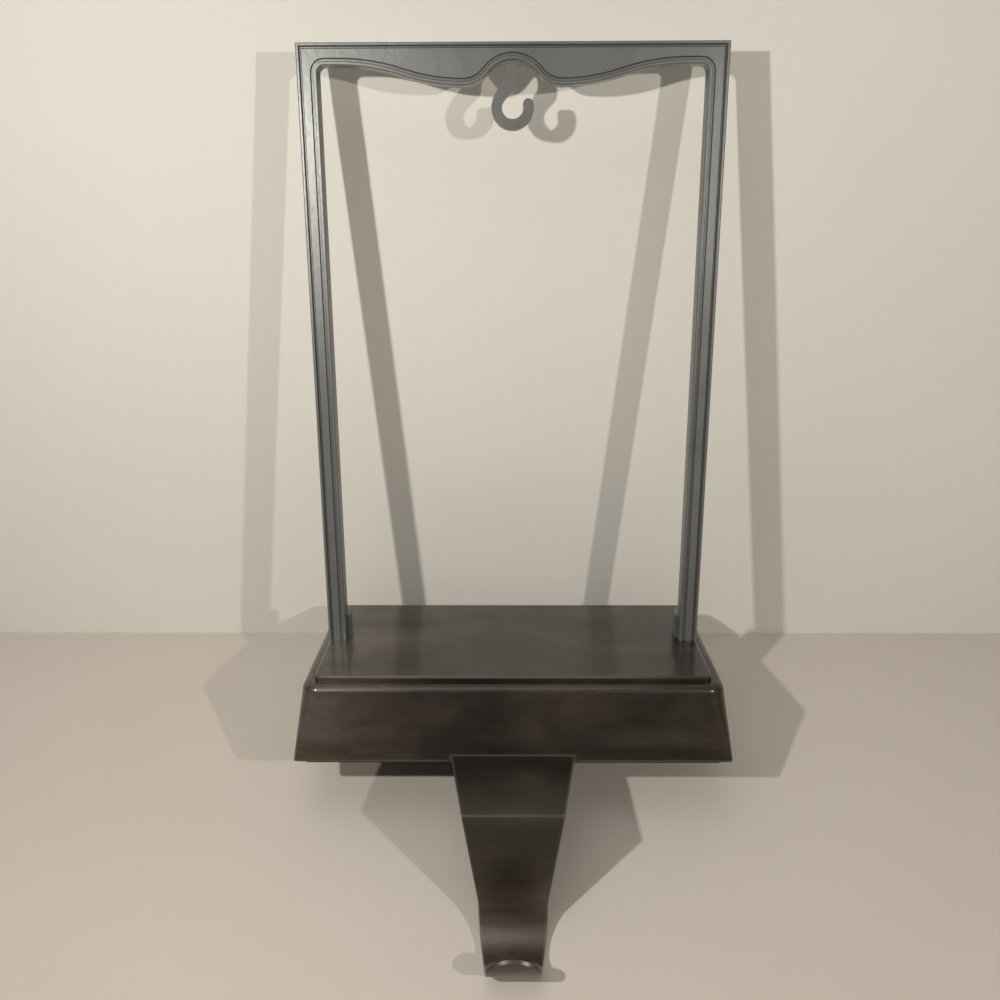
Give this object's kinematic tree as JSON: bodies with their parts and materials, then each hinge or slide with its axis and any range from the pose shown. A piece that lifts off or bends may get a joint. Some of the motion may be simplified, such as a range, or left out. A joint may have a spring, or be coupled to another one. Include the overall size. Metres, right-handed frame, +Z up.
{
  "type": "mantel stocking holder",
  "caption": "Weighted stocking holder for a mantel shelf: cast base, tall moulded open frame with an ornament hook, and a strap arm over the shelf's edge that ends in a J hook.",
  "frame": {"origin": "middle of the pad's underside, on the face that rests on the mantel shelf", "axes": "+Z up along the frame's legs, +X to the right along the frame's rail, -Y to the front, where the arm reaches over the shelf's edge"},
  "size_m": [0.14, 0.129, 0.2559],
  "materials": {
    "bronze_paint": "dark bronze paint, semi-gloss",
    "pad_rubber": "matt",
    "screw_steel": "zinc plated"
  },
  "bodies": {
    "root": {"base": "bronze_paint", "frame": "bronze_paint", "hook_arm": "bronze_paint", "non_slip_pad": "pad_rubber", "frame_screws": "screw_steel", "arm_screws": "screw_steel"}
  },
  "joints": []
}
